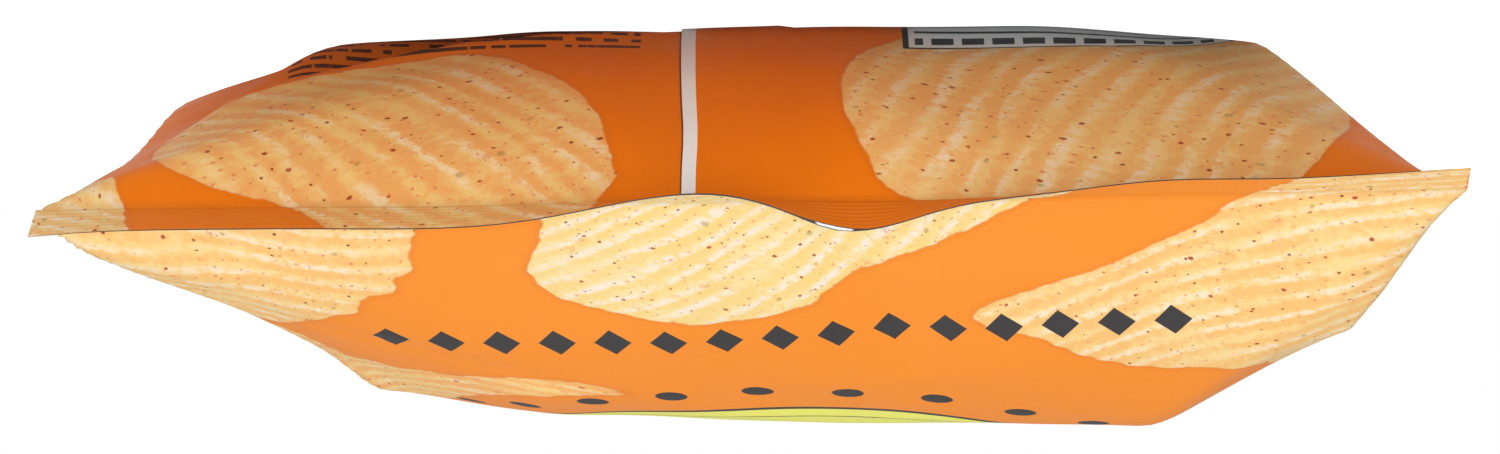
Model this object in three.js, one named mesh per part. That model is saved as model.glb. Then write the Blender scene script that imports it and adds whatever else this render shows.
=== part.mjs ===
// A filled pillow bag of ridged crisps, lying on its back panel with the front panel up.
// Millimetres, +Z up. X runs across the bag and Y along it, from the top seal at -Y to the bottom seal at +Y.
// The origin is on the surface that the bag lies on, below the middle of the bag.
// The shut bag can't be seen into, so film and contents are one solid.

import * as THREE from 'three';

// The flat film: a tube laid flat, sealed across both ends
const FLAT_WIDTH = 190;
const FILM_LENGTH = 280;
const SEAL_HEIGHT = 12;
const SEAL_THICKNESS = 0.8;

// The filled bag: the bulge draws the two seals towards each other, most of all at their middles
const BODY_LENGTH = 240;
const SEAL_PULL = 3.5;
const SHOULDER_LENGTH = 72;

// Sections through the belly, as the corners where the film bends. Each corner's ease says how its height
// follows its move across: below 1 it leaves the seal's level early, above 1 it leaves it late. Its cut is
// how far back from the corner the film starts to bend.
const CORNER_CUT = 9;
const TOP_BELLY = {
  leftCrease: { x: 69.2, z: 26.6, ease: 1 },
  front: [
    { x: 52, z: 54.4, ease: 0.74, cut: 7.5 },
    { x: 23, z: 57, ease: 1.45 },
    { x: -60, z: 58.5, ease: 1.08 },
    { x: -92.2, z: 41.5, ease: 0.98, cut: 2 },
  ],
  rightCrease: { x: -86.8, z: 30, ease: 1 },
  back: [
    { x: 78.8, z: 9.8, ease: 1.6, cut: 7.5 },
    { x: 61.5, z: 2.7, ease: 1.25 },
    { x: 24, z: 0.4, ease: 1 },
    { x: -41.5, z: 0.4, ease: 0.87 },
    { x: -78.5, z: 3.7, ease: 0.94 },
  ],
};
const BOTTOM_BELLY = {
  leftCrease: { x: 79, z: 27, ease: 1 },
  front: [
    { x: 66, z: 49, ease: 0.9 },
    { x: 32, z: 58, ease: 1.2 },
    { x: -48, z: 58.5, ease: 1.05 },
    { x: -81, z: 47, ease: 0.9 },
  ],
  rightCrease: { x: -85, z: 29, ease: 1 },
  back: [
    { x: 74, z: 8, ease: 1.1 },
    { x: 52, z: 0.4, ease: 1.2 },
    { x: 10, z: 0.4, ease: 1 },
    { x: -54, z: 0.4, ease: 1 },
    { x: -78, z: 6, ease: 1.2 },
  ],
};

// Each seal: the height of its inner line at the left and right ends, and how its free edge waves about that line
const TOP_SEAL = {
  left: 26.7,
  right: 24.7,
  lift: 2.2,
  tilt: 4.9,
  waves: [
    { at: -13.5, height: 3.8, spread: 11 },
    { at: 8, height: -3.4, spread: 19 },
    { at: 62, height: -1.7, spread: 24 },
    { at: -54, height: -1, spread: 13.5 },
    { at: 93, height: -3.1, spread: 24 },
  ],
};
const BOTTOM_SEAL = {
  left: 25.2,
  right: 27.4,
  lift: 0.4,
  tilt: -2.6,
  waves: [
    { at: 34, height: -2.6, spread: 17 },
    { at: -22, height: 2.8, spread: 19 },
    { at: -66, height: -1.4, spread: 14 },
  ],
};

// How much of the wave the inner line has, and how far into the body it can be felt
const INNER_WAVE = 0.3;
const WAVE_REACH = 26;

// The lap seam down the back: one edge of the film laid over the other
const SEAM = { from: -3.5, to: 9.5, height: 0.35, step: 0.8 };

// How far into its rise a fold starts and stops
const FOLD_END = 0.12;

// Folds in the film, between two places given as across, along; those in the front panel first
const FRONT_FOLDS = [
  { from: [88, 20], to: [60, 76], depth: 1.0, width: 6 },
  { from: [-13, 12], to: [-19, 58], depth: 1.3, width: 7 },
  { from: [8, 12], to: [15, 50], depth: -1.0, width: 8 },
  { from: [-92, 104], to: [-66, 128], depth: 1.5, width: 6 },
  { from: [-92, 150], to: [-70, 146], depth: 1.2, width: 5 },
  { from: [92, 138], to: [62, 146], depth: 1.5, width: 6 },
  { from: [92, 176], to: [70, 168], depth: 1.2, width: 5 },
  { from: [40, 268], to: [48, 224], depth: 1.2, width: 8 },
  { from: [-24, 268], to: [-30, 226], depth: -1.1, width: 8 },
  { from: [-78, 240], to: [-44, 190], depth: 1.3, width: 7 },
];
const BACK_FOLDS = [
  { from: [-14, 12], to: [-17, 50], depth: -1.0, width: 7 },
  { from: [8, 12], to: [10, 44], depth: 1.0, width: 8 },
  { from: [78, 44], to: [60, 92], depth: 1.3, width: 6 },
  { from: [90, 130], to: [66, 142], depth: 1.2, width: 6 },
  { from: [-90, 148], to: [-70, 156], depth: 1.2, width: 6 },
  { from: [-30, 268], to: [-34, 224], depth: 1.1, width: 8 },
  { from: [74, 238], to: [52, 200], depth: 1.3, width: 7 },
];

// How finely the film is divided, across each panel and along the bag
const ACROSS = 44;
const SEAL_ROWS = 3;
const BODY_ROWS = 44;
const CUT_STEPS = 4;

// A fillet takes at most this share of the shorter side next to it
const LONGEST_CUT = 0.45;

// The film's thickness and folds fade out over the last stretch before a side crease
const CREASE_FADE = 10;

const COLOUR = 0xf28c3a;
const HALF_WIDTH = FLAT_WIDTH / 2;
const BODY_FILM = FILM_LENGTH - 2 * SEAL_HEIGHT;
const lerp = THREE.MathUtils.lerp;
const clamp = THREE.MathUtils.clamp;

// How far a section has changed from the seal's shape to the belly's: steep at the seal, level at the shoulder
function rise(distance) {
  const left = 1 - clamp(distance / SHOULDER_LENGTH, 0, 1);
  return 1 - left ** 2;
}

function bump(distance, spread) {
  return Math.exp(-((distance / spread) ** 2));
}

// The height of a seal's free edge above its inner line
function edgeWave(seal, across) {
  const waves = seal.waves.map((w) => w.height * bump(across - w.at, w.spread));
  return seal.lift + (seal.tilt * across) / HALF_WIDTH + waves.reduce((a, b) => a + b, 0);
}

// A polyline with each inner corner replaced by a short curve
function rounded(corners) {
  const points = [corners[0]];
  for (let i = 1; i < corners.length - 1; i++) {
    const [before, corner, after] = [corners[i - 1], corners[i], corners[i + 1]];
    const cutBack = (other) => {
      const length = corner.distanceTo(other);
      return corner.clone().lerp(other, length > 0 ? Math.min(corner.cut, length * LONGEST_CUT) / length : 0);
    };
    const curve = new THREE.QuadraticBezierCurve(cutBack(before), corner, cutBack(after));
    points.push(...curve.getPoints(CUT_STEPS));
  }
  points.push(corners[corners.length - 1]);
  return points;
}

// Places on the polyline at the given shares of its length
function atShares(points, shares) {
  const lengths = [0];
  for (let i = 1; i < points.length; i++) {
    lengths.push(lengths[i - 1] + points[i].distanceTo(points[i - 1]));
  }
  const total = lengths[lengths.length - 1];
  let i = 1;
  return shares.map((share) => {
    while (i < points.length - 1 && lengths[i] < share * total) i++;
    const span = lengths[i] - lengths[i - 1];
    const t = span > 0 ? (share * total - lengths[i - 1]) / span : 0;
    return points[i - 1].clone().lerp(points[i], clamp(t, 0, 1));
  });
}

// One panel's half of a section, from the left crease to the right one.
// Every corner moves in a straight line from its end of the seal to its place at the belly.
function panelSection(seal, corners, progress, shares) {
  const ends = [
    new THREE.Vector2(HALF_WIDTH, seal.left),
    new THREE.Vector2(-HALF_WIDTH, seal.right),
  ];
  const moved = corners.map(({ x, z, ease, cut, leftward }) => {
    const end = leftward ? ends[0] : ends[1];
    const place = new THREE.Vector2(lerp(end.x, x, progress), lerp(end.y, z, progress ** ease));
    return Object.assign(place, { cut });
  });
  return atShares(rounded(moved), shares);
}

// Film places across a panel, from left to right, with extra ones at the seam's two steps
function filmAcross() {
  const places = [];
  for (let i = 0; i <= ACROSS; i++) places.push(lerp(HALF_WIDTH, -HALF_WIDTH, i / ACROSS));
  for (const edge of [SEAM.from, SEAM.to]) {
    const nearest = places.reduce((a, b) => (Math.abs(b - edge) < Math.abs(a - edge) ? b : a));
    places.splice(places.indexOf(nearest), 1, edge + SEAM.step / 2, edge - SEAM.step / 2);
  }
  return places;
}

// Film places along the bag, from the top edge to the bottom edge
function filmAlong() {
  const places = [];
  for (let i = 0; i < SEAL_ROWS; i++) places.push((i / SEAL_ROWS) * SEAL_HEIGHT);
  for (let i = 0; i <= BODY_ROWS; i++) places.push(SEAL_HEIGHT + (i / BODY_ROWS) * BODY_FILM);
  for (let i = 1; i <= SEAL_ROWS; i++) {
    places.push(FILM_LENGTH - SEAL_HEIGHT + (i / SEAL_ROWS) * SEAL_HEIGHT);
  }
  return places;
}

// The depth of the folds at a place on the film
function foldDepth(folds, across, along) {
  const place = new THREE.Vector3(across, along, 0);
  const nearest = new THREE.Vector3();
  let depth = 0;
  for (const fold of folds) {
    const line = new THREE.Line3(
      new THREE.Vector3(...fold.from, 0),
      new THREE.Vector3(...fold.to, 0),
    );
    const share = line.closestPointToPointParameter(place, true);
    line.at(share, nearest);
    const fade = Math.sin(Math.PI * lerp(FOLD_END, 1 - FOLD_END, share));
    depth += fold.depth * fade * bump(nearest.distanceTo(place), fold.width);
  }
  return depth;
}

// The corners of one panel's belly at a place along the film: the top half's, the bottom half's or between
function bellyCorners(side, v) {
  const share = THREE.MathUtils.smoothstep(v, FILM_LENGTH * 0.4, FILM_LENGTH * 0.6);
  const list = (belly) => {
    const inner = side > 0 ? belly.front : belly.back;
    return [belly.leftCrease, ...inner, belly.rightCrease];
  };
  const far = list(BOTTOM_BELLY);
  return list(TOP_BELLY).map((near, i) => ({
    leftward: near.x > 0,
    x: lerp(near.x, far[i].x, share),
    z: lerp(near.z, far[i].z, share),
    ease: lerp(near.ease, far[i].ease, share),
    cut: lerp(near.cut ?? CORNER_CUT, far[i].cut ?? CORNER_CUT, share),
  }));
}

// Smooth film of one panel, as rows of points from the top edge to the bottom edge
function smoothPanel(side, across, along) {
  const shares = across.map((a) => (HALF_WIDTH - a) / FLAT_WIDTH);
  return along.map((v) => {
    const atTop = v < FILM_LENGTH / 2;
    const seal = atTop ? TOP_SEAL : BOTTOM_SEAL;
    const fromEdge = atTop ? v : FILM_LENGTH - v;
    const inBody = Math.max(fromEdge - SEAL_HEIGHT, 0) * (BODY_LENGTH / BODY_FILM);
    const progress = rise(inBody);
    const inSeal = Math.max(1 - fromEdge / SEAL_HEIGHT, 0);
    const settle = bump(inBody, WAVE_REACH) * Math.max(1 - progress * 2, 0);
    const places = panelSection(seal, bellyCorners(side, v), progress, shares);
    return places.map((p, i) => {
      const pull = SEAL_PULL * (1 - (across[i] / HALF_WIDTH) ** 2) * (1 - progress);
      const y = BODY_LENGTH / 2 + inSeal * SEAL_HEIGHT - inBody - pull;
      const wave = edgeWave(seal, across[i]) * lerp(INNER_WAVE, 1, inSeal) * settle;
      return new THREE.Vector3(p.x, atTop ? -y : y, p.y + wave);
    });
  });
}

// The panel with its film thickness, folds and seam, resting flat where it meets the surface
function panel(side, across, along) {
  const smooth = smoothPanel(side, across, along);
  const folds = side > 0 ? FRONT_FOLDS : BACK_FOLDS;
  const last = { row: along.length - 1, column: across.length - 1 };
  return smooth.map((row, j) =>
    row.map((p, i) => {
      const columnStep = row[Math.min(i + 1, last.column)].clone().sub(row[Math.max(i - 1, 0)]);
      const rowStep = smooth[Math.min(j + 1, last.row)][i].clone().sub(smooth[Math.max(j - 1, 0)][i]);
      const outward = rowStep.cross(columnStep).normalize().multiplyScalar(side);
      const fromCrease = 1 - (Math.abs(across[i]) / HALF_WIDTH) ** CREASE_FADE;
      const seam = side < 0 && across[i] < SEAM.to && across[i] > SEAM.from ? SEAM.height : 0;
      const film = SEAL_THICKNESS / 2 + seam - foldDepth(folds, across[i], along[j]);
      const out = p.clone().addScaledVector(outward, film * fromCrease);
      out.z = Math.max(out.z, 0);
      return out;
    }),
  );
}

// Both panels share their crease points, and the free edges are closed between them
function bagGeometry() {
  const across = filmAcross();
  const along = filmAlong();
  const front = panel(1, across, along);
  const back = panel(-1, across, along);
  const columns = across.length;
  const positions = [];
  const triangle = (a, b, c) => {
    if (a.equals(b) || b.equals(c) || c.equals(a)) return;
    positions.push(...a, ...b, ...c);
  };
  const quad = (a, b, c, d) => {
    triangle(a, b, c);
    triangle(a, c, d);
  };
  for (let j = 0; j < along.length; j++) {
    for (const i of [0, columns - 1]) back[j][i].copy(front[j][i]);
  }
  for (let j = 0; j < along.length - 1; j++) {
    for (let i = 0; i < columns - 1; i++) {
      quad(front[j][i], front[j + 1][i], front[j + 1][i + 1], front[j][i + 1]);
      quad(back[j][i], back[j][i + 1], back[j + 1][i + 1], back[j + 1][i]);
    }
  }
  const lastRow = along.length - 1;
  for (let i = 0; i < columns - 1; i++) {
    quad(front[0][i], front[0][i + 1], back[0][i + 1], back[0][i]);
    quad(front[lastRow][i], back[lastRow][i], back[lastRow][i + 1], front[lastRow][i + 1]);
  }
  const geometry = new THREE.BufferGeometry();
  geometry.setAttribute('position', new THREE.Float32BufferAttribute(positions, 3));
  geometry.computeVertexNormals();
  return geometry;
}

const film = new THREE.MeshStandardMaterial({ color: COLOUR, roughness: 0.45, metalness: 0 });
const bag = new THREE.Mesh(bagGeometry(), film);
bag.name = 'bag';

const group = new THREE.Group();
group.add(bag);

export default group;
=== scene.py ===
"""A filled pillow bag of ridged crisps in printed film, lying on its back panel with the front panel up.

The film is worked out in millimetres and turned into metres as its mesh is made. X runs across the bag and
Y along it, from the top seal at -Y to the bottom seal at +Y, and the bag lies on the plane Z = 0.
A place on the film is "across", from 95 at the left side crease to -95 at the right one, and "laid", the
distance in mm along the film from the top seal's free edge. The solid's own places along the film, which are
not quite as far apart as those, are "along".
"""

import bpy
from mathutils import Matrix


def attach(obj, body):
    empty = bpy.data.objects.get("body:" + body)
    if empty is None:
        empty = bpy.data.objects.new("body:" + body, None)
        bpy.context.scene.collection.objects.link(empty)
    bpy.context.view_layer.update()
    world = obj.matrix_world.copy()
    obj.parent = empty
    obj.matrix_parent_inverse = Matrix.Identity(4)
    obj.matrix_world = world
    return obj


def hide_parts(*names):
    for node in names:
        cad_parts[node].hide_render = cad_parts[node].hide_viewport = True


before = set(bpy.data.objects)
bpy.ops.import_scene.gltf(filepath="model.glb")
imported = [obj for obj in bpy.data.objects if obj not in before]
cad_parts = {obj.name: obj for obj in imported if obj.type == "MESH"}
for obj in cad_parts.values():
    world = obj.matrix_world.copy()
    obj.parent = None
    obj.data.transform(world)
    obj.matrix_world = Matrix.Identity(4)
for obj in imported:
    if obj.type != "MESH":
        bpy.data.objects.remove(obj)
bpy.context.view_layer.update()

import math

import bpy
import numpy as np
from bpy.props import FloatProperty, FloatVectorProperty, IntProperty, PointerProperty
from mathutils import Matrix, Vector

bl_info = {
    "name": "Bag of crisps",
    "version": (1, 0, 0),
    "blender": (4, 5, 0),
    "location": "3D View > Sidebar > Crisps",
    "description": "Makes a filled pillow bag of ridged crisps in printed film, and a plain stage for it",
    "category": "Object",
}

MM = 0.001

# The flat film: a tube laid flat, sealed across both ends
FLAT_WIDTH = 190.0
HALF_WIDTH = FLAT_WIDTH / 2
FILM_LENGTH = 280.0
SEAL_HEIGHT = 12.0
BODY_FILM = FILM_LENGTH - 2 * SEAL_HEIGHT

# The filled bag: the bulge draws the two seals towards each other, most of all at their middles
BODY_LENGTH = 240.0
SEAL_PULL = 3.5
SHOULDER_LENGTH = 72.0

# How far the left and right side creases spread between a seal's wavy free edge and its inner line
SEAL_SPREAD = (0.4, 1.2)

# Sections through the belly, as the corners where the film bends: across, height, ease, straightness, how
# far the corner is cut back and, where it isn't the shoulder's length, the distance from the seal within
# which the corner is reached. Ease says how a corner's height follows its move across: below 1 it leaves the
# seal's level early. A straightness of 1 would run the corner's fold in a straight line from the seal to the
# belly.
CORNER_CUT = 9.0
LONGEST_CUT = 0.45
TOP_BELLY = {
    "left crease": (70.0, 27.5, 1.0, 0.1, 4.0),
    "front": [
        (54.6, 53.0, 0.35, 0.74, 2.0),
        (24.0, 57.0, 1.4, 0.05, CORNER_CUT),
        (-59.3, 58.1, 1.0, 0.35, 2.5, 60),
        (-84.5, 43.7, 1.6, 0.66, 1.2, 30),
    ],
    "right crease": (-85.0, 30.0, 0.7, 0.0, 6.0, 45),
    "back": [
        (84.4, 12.5, 5.5, 0.6, 3.0),
        (60.9, 3.05, 1.4, 0.22, 2.5),
        (22.0, 1.2, 0.86, 0.0, CORNER_CUT),
        (-47.0, 0.4, 1.0, 0.0, CORNER_CUT),
        (-76.8, 3.5, 1.4, 0.3, 2.5),
    ],
}
BOTTOM_BELLY = {
    "left crease": (79, 27, 1.0, 0.0, CORNER_CUT),
    "front": [
        (66, 49, 0.9, 0.3, 5.0),
        (32, 58, 1.2, 0.0, CORNER_CUT),
        (-48, 58.5, 1.05, 0.0, CORNER_CUT),
        (-81, 47, 0.9, 0.3, 4.0),
    ],
    "right crease": (-85, 29, 1.0, 0.0, CORNER_CUT),
    "back": [
        (74, 8, 1.1, 0.2, 5.0),
        (52, 0.4, 1.2, 0.0, CORNER_CUT),
        (10, 0.4, 1.0, 0.0, CORNER_CUT),
        (-54, 0.4, 1.0, 0.0, CORNER_CUT),
        (-78, 6, 1.2, 0.2, 5.0),
    ],
}

# Each seal: the height of its inner line at the left and right ends, and how its free edge waves about that
# line
TOP_SEAL = {
    "left": 26.7,
    "right": 25.2,
    "lift": 2.1,
    "tilt": 5.5,
    "waves": [(-13.5, 3.8, 11), (8, -3.4, 19), (62, -1.7, 24), (-54, -1, 13.5), (93, -3.1, 24)],
}
BOTTOM_SEAL = {
    "left": 25.2,
    "right": 27.4,
    "lift": 0.4,
    "tilt": -2.6,
    "waves": [(34, -2.6, 17), (-22, 2.8, 19), (-66, -1.4, 14)],
}
INNER_WAVE = 0.15
WAVE_REACH = 26.0

# How far the film stands off its middle surface: thin at the seals, and as the solid's skin in the body
SEAL_SKIN = 0.075
BODY_SKIN = 0.4
SKIN_GROWS = (12.0, 34.0)
CREASE_FADE = 10

# Where the small relief of the body and of the belly set in, the seal's ribs start and end, as distances
# from the free edge, and the length of the film's wide soft waves
BODY_RELIEF = (SEAL_HEIGHT, SEAL_HEIGHT + 14)
BELLY_RELIEF = (40, 84)
RIBS_START = 0.8
RIBS_END = (10.6, 11.6)
SAG_LENGTH = 34

# The bumps of the crisps inside: how many, the part of a panel they lie in, and their half lengths and half
# widths
LUMPS = {"count": 34, "across": 72, "laid": (66, 226), "long": (10, 20), "short": (5, 9)}

# How much closer together the film's columns stand at its sides than on average, as a share
SIDE_CROWD = 0.45

# Where the two layers of film part at the top seal's free edge, and a glint of their pale inside shows, which
# is bounded across the edge by the value that "seam_gap" has between the layers
NOTCH = {"at": -11.0, "half_width": 3.4, "gape": 0.24, "reach": 3.5, "glint": (-13.6, -8.8),
         "glint_gap": (36, 82)}

# The lap seam down the back: one edge of the film laid over the other. Its inner edge shows through softly,
# the seals press it flat, and it leans to the right on its way to the belly. Extra columns of the film crowd
# about its edge, clear of the even ones.
# Beside its cut edge, over the width "cut", the film is darkened by a painted shadow.
SEAM = {"from": -3.5, "to": 9.5, "height": 0.35, "sealed": 0.06, "edge": 0.12, "soft": 1.2, "lean": -2.0,
        "margin": 1.85, "cut": 0.24, "crowd": 0.9, "clear": 0.4}

# Wide folds in the film between two places given as across, along: the places of the solid
FOLD_END = 0.12
FRONT_FOLDS = [
    ((88, 20), (60, 76), 1.0, 6),
    ((94, 8), (78, 30), -3.4, 5),
    ((84, 40), (68, 80), 1.8, 5),
    ((-13, 12), (-19, 58), 1.3, 7),
    ((8, 12), (15, 50), -1.0, 8),
    ((-92, 104), (-66, 128), 1.5, 6),
    ((-92, 150), (-70, 146), 1.2, 5),
    ((92, 138), (62, 146), 1.5, 6),
    ((92, 176), (70, 168), 1.2, 5),
    ((40, 268), (48, 224), 1.2, 8),
    ((-24, 268), (-30, 226), -1.1, 8),
    ((-78, 240), (-44, 190), 1.3, 7),
]
BACK_FOLDS = [
    ((64, 64), (18, 84), 3.6, 8),
    ((-14, 12), (-17, 50), -1.0, 7),
    ((8, 12), (10, 44), 1.0, 8),
    ((78, 44), (60, 92), 1.3, 6),
    ((90, 130), (66, 142), 1.2, 6),
    ((-90, 148), (-70, 156), 1.2, 6),
    ((-30, 268), (-34, 224), 1.1, 8),
    ((74, 238), (52, 200), 1.3, 7),
]

# Sharp creases in the film: from, to, depth and width. A negative depth stands up as a ridge.
FRONT_CREASES = [
    ((-7, 40), (-9, 62), 0.3, 1.8),
    ((-9, 62), (10, 66), 0.2, 2.5),
    ((-9, 60), (-34, 52), -0.25, 2.5),
    ((30, 62), (74, 46), 0.35, 2.0),
    ((74, 46), (60, 88), 0.3, 2.5),
    ((-58, 66), (-88, 34), 0.25, 2.2),
    ((20, 150), (62, 196), 0.35, 2.5),
    ((-10, 190), (-58, 226), -0.35, 2.5),
    ((-62, 120), (-30, 160), 0.3, 3.0),
    ((44, 214), (70, 256), 0.4, 2.2),
]
BACK_CREASES = [
    ((-6, 14), (-9, 30), 0.25, 1.6),
    ((-14, 20), (-24, 14), 0.2, 1.4),
    ((66, 54), (8, 69), -1.5, 4.0),
    ((82, 28), (62, 52), 0.4, 1.8),
    ((-18, 58), (-66, 64), 0.25, 2.2),
    ((30, 120), (66, 180), 0.3, 2.5),
    ((-36, 170), (-70, 214), 0.3, 2.5),
]

# Pictured crisps: the panel, the outline as across and laid, how many degrees their ridges rise to the
# right, how far apart the ridges are, how much they bow, how toasted they are, and a seed for their flecks
PICTURED = [
    {   # at the left of the front panel, running on round the side crease
        "panel": "front",
        "outline": [
            (44.5, -8), (44.5, 8), (44.8, 19), (46.5, 23.5), (48.2, 30), (51, 32), (51.8, 35.5), (57, 37.5),
            (58.5, 41.5), (64, 45), (69, 49.5), (73, 53.5), (80, 54), (90, 46), (98, 36), (104, 24),
            (107, 8), (106, -10), (80, -24),
        ],
        "rise": -14, "pitch": 4.4, "bow": 0.05, "toast": 0.6, "seed": 1,
    },
    {   # at the middle of the front panel
        "panel": "front",
        "outline": [
            (24, -14), (27.5, 4), (27.5, 17), (29.5, 24), (32, 29.5), (30, 35.5), (25, 38.3), (18, 40.3),
            (10, 41), (2, 39.5), (-5, 36.7), (-9, 33), (-13, 29.5), (-20, 25.2), (-28, 19.8), (-35, 14.8),
            (-39.5, 8), (-42, -6), (-20, -22),
        ],
        "rise": 44, "pitch": 3.4, "bow": 0.05, "toast": 0.0, "seed": 2,
    },
    {   # at the right of the front panel
        "panel": "front",
        "outline": [
            (-28, 38.5), (-30, 35.5), (-38, 31), (-46, 27), (-54, 22), (-61, 17.5), (-66, 12), (-71, 3),
            (-78, -8), (-90, -8), (-94.6, -6), (-94.8, 10), (-94.8, 30), (-94.8, 50), (-93, 64), (-84, 72),
            (-75, 70), (-70.5, 60), (-67, 51.5), (-60, 50.3), (-52, 50.8), (-45, 49), (-40.5, 46.5),
            (-36, 43), (-30.5, 41.5),
        ],
        "rise": 23, "pitch": 3.7, "bow": -0.04, "toast": 0.6, "seed": 3,
    },
    {   # low at the left of the front panel
        "panel": "front",
        "outline": [
            (72.5, 58), (69.5, 63), (66, 68), (62, 65.6), (58, 66), (54.5, 64.6), (50, 64.3), (45, 62),
            (38, 60.6), (31, 61.3), (24, 64.5), (31, 66), (39, 67.5), (45, 71), (50, 77), (53, 86),
            (60, 94), (78, 93), (88, 72), (82, 58),
        ],
        "rise": 27, "pitch": 3.8, "bow": -0.18, "toast": 1.0, "seed": 4,
    },
    {   # at the left of the back panel
        "panel": "back",
        "outline": [
            (50, -14), (57, 2), (61, 10.8), (67, 13.8), (73, 16.2), (78, 20), (79.3, 25), (79, 33),
            (76, 41), (73, 48), (67, 51), (60, 54), (52, 56), (44, 56), (37, 57), (32, 55), (27, 48.5),
            (22, 40), (19.5, 30), (18.6, 21), (17.8, 17), (20.5, 12), (21.5, 0), (30, -14),
        ],
        "rise": 53, "pitch": 5.1, "bow": 0.0, "toast": 1.0, "seed": 5,
    },
    {   # at the right of the back panel
        "panel": "back",
        "outline": [
            (-22, 12), (-17.5, 15.5), (-15.5, 21), (-13.3, 29), (-12.5, 36), (-13.2, 45), (-15.5, 54),
            (-19, 62), (-34, 84), (-56, 92), (-72, 86), (-79.5, 66), (-80.5, 48), (-79.5, 34), (-76, 21),
            (-70, 13.5), (-58, 11.5), (-46, 12), (-34, 11.5),
        ],
        "rise": -69, "pitch": 5.2, "bow": 0.01, "toast": 0.8, "seed": 6,
    },
]


def oval(across, laid, length, width, turn):
    """An uneven oval as a few outline points: its centre, its length and width, and how far it is turned."""
    points = []
    for step in range(12):
        angle = 2 * math.pi * step / 12
        uneven = 1 + 0.06 * math.sin(3 * angle + across) + 0.04 * math.cos(5 * angle + laid)
        x, y = length / 2 * math.cos(angle) * uneven, width / 2 * math.sin(angle) * uneven
        turned = math.radians(turn)
        points.append((across + x * math.cos(turned) - y * math.sin(turned),
                       laid + x * math.sin(turned) + y * math.cos(turned)))
    return points


# More crisps, heaped along the bottom of both panels: panel, across, laid, length, width, turn, rise and
# toast
HEAPED = [
    ("front", 70, 178, 62, 46, 35, 24, 0.3),
    ("front", 12, 184, 70, 48, -20, 52, 0.1),
    ("front", -52, 176, 66, 50, 28, -28, 0.6),
    ("front", 44, 222, 74, 50, -12, -40, 0.5),
    ("front", -22, 226, 72, 52, 18, 30, 0.2),
    ("front", -84, 218, 60, 50, -30, -18, 0.7),
    ("back", 58, 216, 72, 52, 14, 36, 0.5),
    ("back", -44, 222, 76, 54, -16, -44, 0.4),
    ("front", 6, 262, 70, 40, 4, -14, 0.35),
]
HEAPED_PITCH = 3.8
HEAPED_BOW = 0.03
HEAPED_SEED = 10


def pictured_crisps():
    """Every pictured crisp: those with an outline of their own, then the heaped ovals."""
    crisps = list(PICTURED)
    for number, (panel, across, laid, length, width, turn, rise, toast) in enumerate(HEAPED):
        crisps.append({
            "panel": panel, "outline": oval(across, laid, length, width, turn), "rise": rise,
            "pitch": HEAPED_PITCH, "bow": HEAPED_BOW, "toast": toast, "seed": HEAPED_SEED + number,
        })
    return crisps


class FilmSettings(bpy.types.PropertyGroup):
    """How finely the film is made, and the size of its small relief."""

    spacing: FloatProperty(
        name="Spacing", description="Distance between neighbouring points of the film", default=1.45 * MM,
        unit="LENGTH", precision=5)
    seal_spacing: FloatProperty(
        name="Seal spacing", description="Distance between rows of points along the seals", default=0.32 * MM,
        unit="LENGTH", precision=5)
    crimp_pitch: FloatProperty(
        name="Crimp pitch", description="Distance between the ribs that the seal's jaws press",
        default=1.6 * MM, unit="LENGTH", precision=5)
    crimp_depth: FloatProperty(
        name="Crimp depth", description="Height of the seal's ribs", default=0.11 * MM, unit="LENGTH",
        precision=5)
    lump_height: FloatProperty(
        name="Lump height", description="How far the crisps inside push the film out", default=0.5 * MM,
        unit="LENGTH", precision=5)
    sag_height: FloatProperty(
        name="Sag height", description="Height of the film's wide soft waves", default=0.16 * MM,
        unit="LENGTH", precision=5)
    pleat_count: IntProperty(
        name="Pleats", description="Fine pleats that run from each seal into a panel", default=15, min=0)


class PrintSettings(bpy.types.PropertyGroup):
    """The print's colours, with the back's orange ground painted deeper as painted shade."""

    film: FloatVectorProperty(
        name="Film", description="The orange ground", default=(0.962, 0.555, 0.135), subtype="COLOR_GAMMA",
        min=0, max=1)
    # The back's orange ground is the front's orange painted deeper: painted shade for the back panel, which
    # faces the floor
    film_back_painted_shade: FloatVectorProperty(
        name="Film, back", description="The deeper orange ground of the back", default=(0.955, 0.495, 0.0),
        subtype="COLOR_GAMMA", min=0, max=1)
    crest: FloatVectorProperty(
        name="Crest", description="Crest of a pale crisp's ridge", default=(0.955, 0.865, 0.635),
        subtype="COLOR_GAMMA", min=0, max=1)
    valley: FloatVectorProperty(
        name="Valley", description="Valley between a pale crisp's ridges", default=(0.95, 0.815, 0.50),
        subtype="COLOR_GAMMA", min=0, max=1)
    toasted_crest: FloatVectorProperty(
        name="Toasted crest", description="Crest of a toasted crisp's ridge", default=(0.975, 0.815, 0.50),
        subtype="COLOR_GAMMA", min=0, max=1)
    toasted_valley: FloatVectorProperty(
        name="Toasted valley", description="Valley between a toasted crisp's ridges",
        default=(0.965, 0.69, 0.39), subtype="COLOR_GAMMA", min=0, max=1)
    shine: FloatVectorProperty(
        name="Shine", description="Light streaks along a pale crisp's ridges", default=(0.955, 0.90, 0.85),
        subtype="COLOR_GAMMA", min=0, max=1)
    toasted_shine: FloatVectorProperty(
        name="Toasted shine", description="Light streaks along a toasted crisp's ridges",
        default=(0.98, 0.885, 0.72), subtype="COLOR_GAMMA", min=0, max=1)
    label: FloatVectorProperty(
        name="Label", description="The yellow field on the front", default=(0.95, 0.94, 0.42),
        subtype="COLOR_GAMMA", min=0, max=1)
    dark: FloatVectorProperty(
        name="Dark print", description="Marks and outlines", default=(0.22, 0.21, 0.21),
        subtype="COLOR_GAMMA", min=0, max=1)
    pale: FloatVectorProperty(
        name="Pale panel", description="The pale panel on the back", default=(0.95, 0.96, 0.96),
        subtype="COLOR_GAMMA", min=0, max=1)
    margin: FloatVectorProperty(
        name="Bare margin", description="The unprinted margin at the lap seam", default=(0.97, 1.0, 1.0),
        subtype="COLOR_GAMMA", min=0, max=1)


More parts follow.
